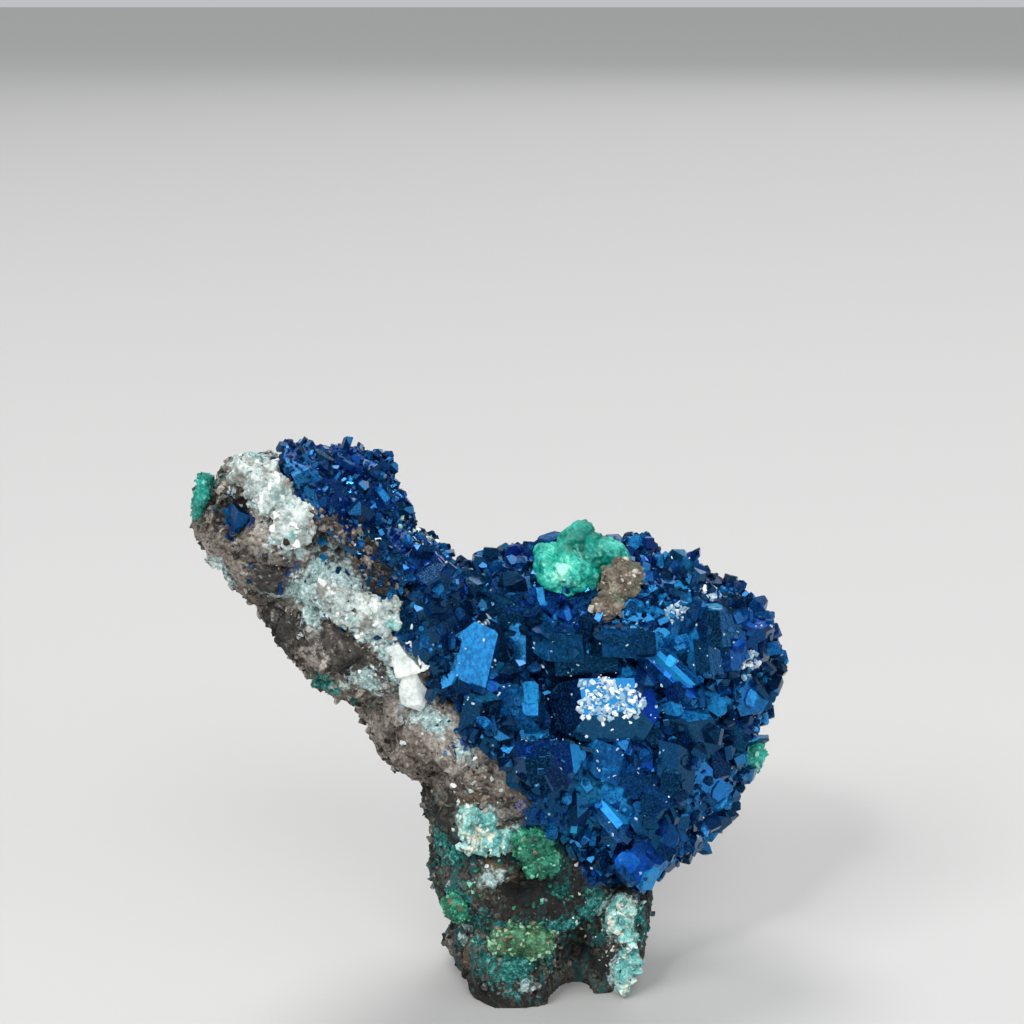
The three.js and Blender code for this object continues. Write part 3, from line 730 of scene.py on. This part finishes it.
def crystal_shape(name, across, through, along, seed):
    """One small crystal of unit size: the room inside its faces, each a little nearer or further out."""
    random = np.random.default_rng(seed)
    looks = np.array([side * np.array(look) for look in CRYSTAL_LOOKS for side in (1, -1)])
    looks /= np.linalg.norm(looks, axis=1)[:, None]
    reaches = np.linalg.norm(looks * (across, through, along), axis=1) / 2
    reaches *= random.uniform(0.8, 1.14, len(looks))
    shape = bmesh.new()
    for trio in itertools.combinations(range(len(looks)), 3):
        walls = looks[list(trio)]
        if abs(np.linalg.det(walls)) < 0.03:
            continue
        corner = np.linalg.solve(walls, reaches[list(trio)])
        if np.all(looks @ corner <= reaches + 1e-6):
            shape.verts.new(corner + (0, 0, 0.02))
    bmesh.ops.remove_doubles(shape, verts=shape.verts, dist=1e-4)
    bmesh.ops.convex_hull(shape, input=shape.verts)
    bmesh.ops.dissolve_limit(shape, angle_limit=0.02, verts=shape.verts, edges=shape.edges)
    return flat_faced(name, shape)


steps = [crystal_shape(f"terrace {seed}", 1.0, 0.66, 0.16, seed) for seed in (7, 8, 9)]
terraces = collected("terraces", steps)
SMALL_SHAPES = [
    ("blade", 0.62, 0.34, 1.15), ("block", 0.8, 0.6, 0.9), ("plate", 0.95, 0.3, 0.85),
    ("stub", 0.66, 0.6, 0.8), ("slender", 0.42, 0.36, 1.3), ("wedge", 0.75, 0.45, 1.0),
]  # fmt: skip
small_crystals = [crystal_shape(*row, seed) for seed, row in enumerate(SMALL_SHAPES, 1)]
small_crystals = collected("small crystals", small_crystals)

# Low terraces stand on the large crystals' faces, lined up with the crystal they grew on.
smooth_faces = weights(bowl, [((-10.4, -10.6, 48.7), 6), ((7, -11.2, 43.8), 6.5)])
sown(
    bowl,
    "azurite_bowl_terraces",
    azurite_finish("azurite terraces", 1.8 * MM, -0.08, 0.04),
    "azurite",
    (1.5, 1.2, 4.2),
    0.5 * (smooth_faces < 0.4),
    shapes=terraces,
    shades=(-0.25, 0.3),
    lean=0.04,
    spin=0.05,
    inherited=1.0,
    seed=13,
)


def fine_bed(node, name, grain):
    """A fine mesh over a CAD node's surface."""
    base, facets = welded(node, name), welded(node, "facets")
    refine(base, grain)
    base.modifiers.new("close fit", "SHRINKWRAP").target = facets
    mesh = bpy.data.meshes.new_from_object(base.evaluated_get(bpy.context.evaluated_depsgraph_get()))
    base.modifiers.clear()
    bpy.data.objects.remove(facets)
    base.data = mesh
    return base


def hollowness(piece, rounds):
    """How far each point lies below the shape around it, in mm: above 0 in the gaps between crystals."""
    points = points_of(piece) / MM
    edges = np.array([edge.vertices[:] for edge in piece.data.edges])
    normals = np.array([vertex.normal[:] for vertex in piece.data.vertices])
    count = np.bincount(edges.ravel(), minlength=len(points))[:, None]
    smooth = points.copy()
    for _ in range(rounds):
        total = np.zeros_like(smooth)
        np.add.at(total, edges[:, 0], smooth[edges[:, 1]])
        np.add.at(total, edges[:, 1], smooth[edges[:, 0]])
        smooth = 0.4 * smooth + 0.6 * total / np.maximum(count, 1)
    return np.einsum("ij,ij->i", smooth - points, normals)


bowl_bed = fine_bed("azurite_bowl_druse", "bowl_bed", 0.45 * MM)
over_rock = distances(bowl_bed, ["matrix_rock"]) / MM
bare = np.clip((2.2 - over_rock) / 0.4, 0, 1)
gaps = np.clip(hollowness(bowl_bed, 14) / 0.3, 0, 1)
places = points_of(bowl_bed) / MM
behind = np.clip((places[:, 1] + 2) / 5, 0, 1)
SUGAR_PATCHES = [((2.5, -1, 51.5), 5), ((11, 0, 54), 4), ((-16, -6, 57), 4), ((8, -11, 19), 3)]
sugar = weights(bowl_bed, SUGAR_PATCHES)
ledge = weights(bowl_bed, [((7, -11.2, 43.8), 4)]) > 0.5
growth = np.where(ledge, 0, np.clip(0.02 + 0.5 * bare + 0.16 * gaps + 0.2 * behind + 0.5 * sugar, 0, 1))
paint(bowl_bed, "royal", royalty(places))
small_look = azurite_finish("azurite small crystals", 0.9 * MM, -0.04, 0.05, lengths=False)
bald = ledge | (weights(bowl_bed, [((21.8, 8.5, 55), 3.2), ((-11, -12.5, 39), 3.2)]) > 0.4)
sparse = np.where(bald, 0, np.clip(0.02 + 0.2 * bare + 0.04 * gaps + 0.1 * behind, 0, 1))
for name, grains, growth, palest, lean, seed in [
    ("small", (0.95, 1.0, 3.2), growth, 0.95, 0.7, 11),
    ("middling", (1.9, 2.4, 4.4), sparse, 0.8, 0.4, 29),
]:
    packed = {"growth": growth, "size": 1.0 - 0.35 * sugar, "shapes": small_crystals}
    packed |= {"shades": (0.05, palest), "lean": lean, "seed": seed}
    sown(bowl_bed, f"azurite_bowl_{name}_crystals", small_look, "azurite", grains, **packed)

# Painted glints: pale quartz grains as fine as sugar, on the ledge of the great stepped crystal and in a
# few hollows, partly quartz and partly standing in for the sparkle of the light.
PAINTED_GLINT_PATCHES = [
    ((6.4, -11.2, 43.8), 3.2), ((9.8, -10.8, 43.2), 2.6), ((-9.4, 5.7, 55.9), 2.4), ((-0.6, 8, 57.8), 1.8),
    ((16.2, -2.5, 52.9), 2.2), ((25.7, -1.1, 44.8), 2.4), ((21.6, 3, 53.7), 1.5), ((-9.3, -4, 52), 1.4),
    ((12.2, -10, 31), 1.6),
]  # fmt: skip
painted_glints = weights(bowl_bed, PAINTED_GLINT_PATCHES)
quartz, tree, shader = finish_of("quartz and painted glints")
# Painted highlight: the palest grains are near white, as glints.
quartz_and_glint_stops = [(0.0, (0.02, 0.1, 0.25)), (0.45, (0.25, 0.42, 0.55)), (1.0, (0.85, 0.9, 0.95))]
haze = noise(tree, placed(tree), 0.5 * MM)
haze = stretched(tree, haze, 0.3, 0.7, 0.06, 0.3)
wire(tree, shader, {"Base Color": colours(tree, painted(tree, "shade"), quartz_and_glint_stops), "Roughness": haze})
sown(
    bowl_bed,
    "quartz_glitter",
    quartz,
    "azurite",
    (0.26, 0.6, 1.1),
    np.clip(3.2 * painted_glints - 1.1, 0.03, 1),
    size=np.where(painted_glints > 0.3, 1.0, 0.5),
    shapes=small_crystals,
    shades=(0.42, 1.0),
    lean=1.3,
    seed=41,
)
bpy.data.objects.remove(bowl_bed)


# ---------------------------------------------------------------- the azurite on the arm and in its pocket
# The upper arm has a thinner crust of azurite: royal blue crystals of 1 to 2 mm, glittering like
# sugar. A few dark blades stand in the pocket at the arm's end, darkened further as painted shade.
arm_crust = welded("azurite_arm_crust", "azurite_arm_crystals")
facets_of(arm_crust)
random = np.random.default_rng(8)
ROCKY_EDGE = [
    ((-27, -13, 64.5), 3.4), ((-24, -12.5, 61.5), 3.2), ((-30.5, -12.5, 67), 2.6), ((-21.5, -12, 59.5), 2),
]  # fmt: skip
face_places = np.array([face.center / MM for face in arm_crust.data.polygons])
count = len(face_places)
face_layer(arm_crust, "shade", random.uniform(0.2, 0.6, count) - 1.4 * nearness(face_places, ROCKY_EDGE))
face_layer(arm_crust, "teal", random.uniform(0.0, 0.15, count))
face_layer(arm_crust, "length", random.normal(size=(count, 3)), "FLOAT_VECTOR")
face_layer(arm_crust, "royal", random.uniform(0.2, 0.8, count))
arm_crust.data.materials.append(azurite_finish("azurite arm crust", 1.6 * MM, 0.06, 0.12))
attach(arm_crust, "root")
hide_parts("azurite_arm_crust")

arm_bed = fine_bed("azurite_arm_crust", "arm_bed", 0.4 * MM)
rocky = weights(arm_bed, ROCKY_EDGE)
arm_places = points_of(arm_bed) / MM
purer = [0.36 + 0.9 * noises.noise(Vector(spot) / 1.7) for spot in arm_places]
paint(arm_bed, "royal", np.clip(purer, 0, 1))
sugar_look = azurite_finish("azurite sugar", 0.7 * MM, 0.04, 0.1, lengths=False)
crowded = weights(arm_bed, [((-29, -8, 73), 6), ((-24, -8, 70), 5)])
for name, grains, growth, shades, lean, seed in [
    ("small", (0.62, 0.55, 1.9), 0.8 - 0.8 * rocky, (0.0, 0.8), 0.7, 17),
    ("middling", (1.9, 2.2, 3.8), 0.05 + 0.3 * crowded - 0.15 * rocky, (0.05, 0.8), 0.5, 23),
]:
    sugared = {"growth": np.clip(growth, 0, 1), "shapes": small_crystals}
    sugared |= {"shades": shades, "lean": lean, "seed": seed}
    sown(arm_bed, f"azurite_arm_{name}_crystals", sugar_look, "azurite_sugar", grains, **sugared)

pocket = welded("azurite_pocket_crystals", "azurite_pocket_blades")
facets_of(pocket)
count = len(pocket.data.polygons)
# Painted shade: the blades are made darker than the arm's crust, for the shade down in the pocket.
face_layer(pocket, "shade", random.uniform(-0.2, 0.7, count))
face_layer(pocket, "length", random.normal(size=(count, 3)), "FLOAT_VECTOR")
pocket.data.materials.append(azurite_finish("azurite pocket", 1.2 * MM, 0.0, 0.1))
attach(pocket, "root")
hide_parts("azurite_pocket_crystals")


# ---------------------------------------------------------------- the malachite
# Green malachite sits on the specimen in small crusts and tufts: a bright knob on the crest, a rosette
# at the rim, a skin at the arm's end, and granular tufts on the trunk and foot.
def crumbling():
    """Rounded lobes and fine crumbs raised on a small growth."""
    lengths = ["Lobe Size", "Lobe Height", "Crumb Size", "Crumb Height", "Wander"]
    tree, given = growth_tree("growth relief", dict.fromkeys(lengths, "Float"))
    place = add(tree, "GeometryNodeInputPosition").outputs[0]
    wander = {"Vector": place, "Scale": sums(tree, "DIVIDE", 0.8, given["Lobe Size"]), "Detail": 4.0}
    wander = add(tree, "ShaderNodeTexNoise", wander).outputs
    bent = shifted(tree, place, scaled(tree, wander[1], times(tree, given["Lobe Size"], 0.6)))
    push = times(tree, sums(tree, "SUBTRACT", wander[0], 0.5), given["Wander"])
    for size, height in [("Lobe Size", "Lobe Height"), ("Crumb Size", "Crumb Height")]:
        cells = {"Vector": bent, "Scale": sums(tree, "DIVIDE", 1.0, given[size]), "Randomness": 1.0}
        reach = add(tree, "ShaderNodeTexVoronoi", cells, feature="F1").outputs["Distance"]
        bulge = sums(tree, "SUBTRACT", 0.35, times(tree, reach, reach))
        push = sloped(tree, bulge, given[height], push)
    offset = scaled(tree, add(tree, "GeometryNodeInputNormal").outputs[0], push)
    moved = add(tree, "GeometryNodeSetPosition", {"Geometry": given["Geometry"], "Offset": offset})
    add(tree, "NodeGroupOutput", {0: moved.outputs[0]})
    return tree


crumble = crumbling()


def grown(node, name, grain, relief, look):
    """A small growth in place of a CAD node: its relief is its lobes' size and height, its crumbs', and
    how far it wanders, all in mm."""
    lump = fine_bed(node, name + "_lump", grain * MM)
    parts = ["lobe_size", "lobe_height", "crumb_size", "crumb_height", "wander"]
    piece = run(crumble, lump, name, **{part: length * MM for part, length in zip(parts, relief)})
    bpy.data.objects.remove(lump)
    piece.data.shade_smooth()
    piece.data.materials.append(look)
    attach(piece, "root")
    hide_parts(node)
    return piece


def crust_finish(name, tones, size, rough, stains=(), bump=0.6, stops=(0.15, 0.4, 0.6, 0.85)):
    """A fine-grained mineral crust: its four tones in clouds and grains, with ragged stains on top."""
    material, tree, shader = finish_of(name)
    place = placed(tree)
    broad = noise(tree, place, 2.4 * size, 4.0, 0.6)
    grain = noise(tree, place, 0.35 * size, 4.0, 0.7)
    mixed = sloped(tree, grain, 0.9, times(tree, broad, 1.1))
    mixed = sums(tree, "ADD", mixed, sloped(tree, painted(tree, "shade"), 0.5, -0.62))
    colour = colours(tree, mixed, list(zip(stops, tones)))
    for everywhere, shift, strength, mark in stains:
        mask = ragged(tree, 0.0, everywhere, shift)
        colour = over(tree, times(tree, mask, strength), colour, mark)
    looks = {
        "Base Color": colour,
        "Roughness": sloped(tree, grain, 0.3, rough - 0.15),
        "Specular IOR Level": 0.45,
        "Normal": bumpy(tree, noise(tree, place, 0.3 * size, 5.0, 0.75), bump, 0.12 * size),
    }
    wire(tree, shader, looks)
    return material


MALACHITE = [(0.0, 0.03, 0.022), (0.004, 0.14, 0.08), (0.04, 0.34, 0.2), (0.3, 0.68, 0.48)]
BRIGHT_MALACHITE = [(0.0, 0.1, 0.08), (0.0, 0.27, 0.21), (0.02, 0.5, 0.38), (0.4, 0.85, 0.68)]
YELLOW_MALACHITE = [(0.01, 0.035, 0.012), (0.03, 0.12, 0.055), (0.11, 0.32, 0.17), (0.4, 0.66, 0.45)]
green_stains = [(0.14, 0.9, 0.7, (0.1, 0.08, 0.04)), (0.12, 0.33, 0.6, (0.2, 0.5, 0.45))]
green_look = crust_finish("malachite", MALACHITE, 0.8 * MM, 0.5, green_stains)
bright_stains = [(0.2, 0.47, 0.6, (0.0, 0.13, 0.075)), (0.16, 0.81, 0.6, (0.3, 0.8, 0.7))]
bright_look = crust_finish("bright malachite", BRIGHT_MALACHITE, 1.2 * MM, 0.34, bright_stains)
yellow_stains = [(0.16, 0.27, 0.7, (0.13, 0.1, 0.07))]
yellow_look = crust_finish("yellow malachite", YELLOW_MALACHITE, 0.8 * MM, 0.6, yellow_stains)

TUFT = (1.3, 1.0, 0.55, 0.35, 1.6)
knob, rosette, tip_skin, front_tuft, foot_tuft, left_tuft = [
    grown("malachite_" + node, "malachite_" + name, grain, relief, look)
    for node, name, grain, relief, look, slot in [
        ("crest_knob", "knob", 0.16, (3.0, 1.6, 0.7, 0.35, 4.5), bright_look, "malachite_bright"),
        ("rim_rosette", "rosette", 0.14, (1.2, 0.9, 0.5, 0.25, 1.2), bright_look, "malachite_bright"),
        ("tip_skin", "skin", 0.14, (1.1, 0.3, 0.5, 0.25, 1.6), bright_look, "malachite_bright"),
        ("front_tuft", "tuft_front", 0.16, TUFT, green_look, "malachite"),
        ("foot_tuft", "tuft_foot", 0.16, TUFT, yellow_look, "malachite"),
        ("left_tuft", "tuft_left", 0.16, TUFT, green_look, "malachite"),
    ]
]
# Painted highlight: the knob is made paler on its front left. It is darker green on top.
painted_highlight_side = weights(knob, [((1.5, -0.5, 56.5), 2.6)])
dark_top = weights(knob, [((4.5, 2.5, 61.5), 3.2)])
paint(knob, "shade", 0.1 + 0.7 * painted_highlight_side - 0.3 * dark_top)
paint(tip_skin, "shade", -0.25)
for bed, place, look, slot, grains, palest, seed in [
    (front_tuft, "front", green_look, "malachite", (0.42, 0.35, 0.9), 0.7, 2),
    (foot_tuft, "foot", yellow_look, "malachite", (0.42, 0.35, 0.9), 0.7, 3),
    (left_tuft, "left", green_look, "malachite", (0.42, 0.35, 0.9), 0.7, 5),
    (rosette, "rim", bright_look, "malachite_bright", (0.5, 0.4, 1.0), 1.0, 6),
    (tip_skin, "tip", bright_look, "malachite_bright", (0.5, 0.4, 1.0), 0.4, 7),
]:
    sown(bed, f"malachite_grains_{place}", look, slot, grains, 0.7, shades=(0.0, palest), seed=seed)


# ---------------------------------------------------------------- the limonite
# A nub of brown limonite sits beside the malachite knob on the crest, and beads of it on the tufts.
LIMONITE = [(0.04, 0.033, 0.025), (0.15, 0.125, 0.095), (0.32, 0.28, 0.22), (0.6, 0.57, 0.48)]
limonite_look = crust_finish("limonite", LIMONITE, 1.0 * MM, 0.85, [(0.18, 0.4, 0.7, (0.05, 0.2, 0.11))])
NUB = (1.8, 1.2, 0.6, 0.35, 2.6)
nub = grown("limonite_crest_nub", "limonite_nub", 0.15, NUB, limonite_look)
sown(nub, "limonite_grains", limonite_look, "limonite", (0.6, 0.4, 1.3), 0.7, seed=9)
OCHRES = [(0.04, 0.028, 0.014), (0.12, 0.085, 0.045), (0.26, 0.2, 0.12), (0.5, 0.43, 0.3)]
ochre_look = crust_finish("yellow limonite", OCHRES, 0.8 * MM, 0.7)
for bed, place, share, seed in [
    (front_tuft, "front", 0.05, 61),
    (foot_tuft, "foot", 0.3, 62),
    (left_tuft, "left", 0.15, 63),
]:
    sown(bed, f"limonite_beads_{place}", ochre_look, "limonite", (0.8, 0.6, 1.3), share, seed=seed)


# ---------------------------------------------------------------- the white crusts and the chrysocolla
# White clay and carbonate coat the arm, in crumbly sheets with blue and green grains in them.
# Pale blue chrysocolla lies on the trunk and down the right side of the foot.
WHITE_CRUST = [(0.18, 0.23, 0.22), (0.46, 0.54, 0.52), (0.76, 0.8, 0.77), (0.92, 0.93, 0.91)]
CHRYSOCOLLA = [(0.012, 0.12, 0.12), (0.1, 0.38, 0.36), (0.38, 0.7, 0.66), (0.82, 0.92, 0.88)]
white_stains = [
    (0.15, 0.21, 0.7, (0.1, 0.42, 0.4)),
    (0.19, 0.55, 0.75, (0.2, 0.17, 0.145)),
    (0.1, 0.77, 0.95, (0.003, 0.06, 0.34)),
]
WHITE_STOPS = (0.16, 0.4, 0.66, 0.9)
white_look = crust_finish("white crust", WHITE_CRUST, 0.9 * MM, 0.8, white_stains, stops=WHITE_STOPS)
clean_stains = [(0.02, 0.21, 0.5, (0.2, 0.5, 0.48))]
clean_look = crust_finish("clean white crust", WHITE_CRUST, 1.4 * MM, 0.7, clean_stains, 0.4, WHITE_STOPS)
pale_stains = [(0.2, 0.37, 0.9, (0.85, 0.8, 0.66)), (0.12, 0.65, 0.9, (0.1, 0.07, 0.05))]
PALE_STOPS = (0.15, 0.38, 0.6, 0.85)
pale_look = crust_finish("chrysocolla", CHRYSOCOLLA, 0.9 * MM, 0.55, pale_stains, stops=PALE_STOPS)
CRUST = (1.7, 0.8, 0.6, 0.5, 4.0)
PLATE = (3.0, 0.15, 0.8, 0.08, 0.4)
for node, name, look, slot, relief, seed in [
    ("white_crust_upper", "white_crust_upper_arm", white_look, "white_crust", CRUST, 31),
    ("white_crust_lower", "white_crust_lower_arm", white_look, "white_crust", CRUST, 32),
    ("white_plate", "white_crust_plate", clean_look, "white_crust", PLATE, None),
    ("pale_blue_crust", "chrysocolla_trunk", pale_look, "chrysocolla", CRUST, 34),
    ("chrysocolla_right_foot", "chrysocolla_foot", pale_look, "chrysocolla", CRUST, 35),
]:
    crust = grown(node, name, 0.17, relief, look)
    if seed is None:
        paint(crust, "shade", 0.5)
        continue
    sown(crust, name + "_grains", look, slot, (0.7, 0.4, 1.5), 0.5, seed=seed)
    sown(crust, name + "_rock", gossan_look, "gossan", (0.8, 0.4, 1.3), 0.16, seed=seed + 9)

# Loose white, pale blue and green crumbs, and blue crystals, feather the crusts out over the gossan.
clear = np.clip((heights - 1.5) / 2, 0, 1) * ~hidden
whiteness = 0.35 * np.exp(-to_pale / (1.6 * MM)) + 0.08 * stained_and_shaded["white"] ** 2
greenness = 0.35 * np.exp(-to_green / (1.3 * MM)) + 0.1 * stained_and_shaded["green"] ** 2
blue = 0.5 * np.exp(-to_azure / (1.5 * MM)) ** 1.5 + 0.14 * stained_and_shaded["speckled"]
for name, look, slot, grains, growth, shapes, shades, seed in [
    ("white_crumbs", white_look, "white_crust", (0.5, 0.3, 1), whiteness, fragments, (0, 0.65), 51),
    ("green_crumbs", green_look, "malachite", (0.5, 0.35, 1.2), greenness, fragments, (0, 1), 52),
    ("azurite_specks", sugar_look, "azurite_sugar", (0.5, 0.35, 1.5), blue, small_crystals, (0.1, 0.9), 53),
]:
    growth = clear * np.clip(growth, 0, 1)
    sown(gossan, name, look, slot, grains, growth, shapes=shapes, shades=shades, seed=seed)

# Grains of chrysocolla and rock lie along the back edge of the arm, where its azurite meets the bowl's.
EDGE_GRAINS = [
    ((-16.5, -4, 63.5), 3), ((-18, -6, 66), 2), ((-23.5, -10.3, 64.4), 2), ((-30.5, -11, 68), 1.5),
]  # fmt: skip
edge_grains = weights(arm_bed, EDGE_GRAINS) ** 1.5
chrysocolla_grains = ("chrysocolla_edge_grains", pale_look, "chrysocolla", (0.6, 0.5, 1.3))
sown(arm_bed, *chrysocolla_grains, edge_grains, seed=71)
rock_grains = ("gossan_edge_grains", gossan_look, "gossan", (0.42, 0.7, 1.8))
edge_rock = np.clip(edge_grains + 2.2 * rocky - 0.3, 0, 1)
sown(arm_bed, *rock_grains, edge_rock, shades=(0.0, 0.6), seed=72)
bpy.data.objects.remove(arm_bed)


# ---------------------------------------------------------------- the floor, the lights and the camera
# A plain pale floor, soft square lights all round, a large one overhead, and a camera at the front, a
# little above the specimen and looking slightly down at it.
FLOOR_REACH = 99
corners = [(x * FLOOR_REACH, y * FLOOR_REACH, 0) for x, y in [(-1, -1), (1, -1), (1, 1), (-1, 1)]]
floor_mesh = bpy.data.meshes.new("floor")
floor_mesh.from_pydata(corners, [], [(0, 1, 2, 3)])
floor = shown("floor", floor_mesh)
floor_finish, floor_tree, floor_shader = finish_of("floor")
wire(floor_tree, floor_shader, {"Base Color": (0.53, 0.53, 0.52, 1), "Roughness": 0.75})
floor_mesh.materials.append(floor_finish)

world = bpy.data.worlds.new("studio")
bpy.context.scene.world = world
world.use_nodes = True
sky = world.node_tree
seen = add(sky, "ShaderNodeLightPath").outputs["Is Camera Ray"]
glow = {"Color": (0.93, 0.95, 1, 1), "Strength": sloped(sky, seen, 0.3, 0.26)}
wire(sky, sky.nodes["Background"], glow)

# Each lamp: its name, its place and size in metres, and its watts. All point at the specimen's middle.
MIDDLE = Vector((0, 0, 0.04))
LAMPS = [
    ("key", (-1.6, -1.6, 1.86), 1.2, 36),
    ("front", (0.3, -2.1, 1.86), 1.2, 28),
    ("spark", (-0.7, -1.4, 1.46), 0.2, 9.6),
    ("fill", (2.2, -1.5, 0.76), 1.8, 28),
    ("rim", (1.05, 2.25, 2.23), 1.8, 25),
]
for name, place, size, watts in LAMPS:
    light = bpy.data.lights.new(name, "AREA")
    light.size = size
    light.energy = watts
    lamp = shown(name, light)
    lamp.location = place
    lamp.rotation_euler = (MIDDLE - Vector(place)).to_track_quat("-Z", "Y").to_euler()
high_light = bpy.data.lights.new("high light", "SUN")
high_light.angle = math.radians(24)
high_light.energy = 1.3
shown("high light", high_light).rotation_euler = (math.radians(-14), math.radians(-12), 0)

CAMERA_PLACE = (-0.0051, -0.2515, 0.1295)
CAMERA_PITCH = 14.3  # degrees down
camera_data = bpy.data.cameras.new("camera")
camera_data.lens = 70
camera_data.sensor_width = 36
camera = shown("camera", camera_data)
camera.location = CAMERA_PLACE
camera.rotation_euler = (math.radians(90 - CAMERA_PITCH), 0, 0)
bpy.context.scene.camera = camera
bpy.context.scene.view_settings.view_transform = "Standard"
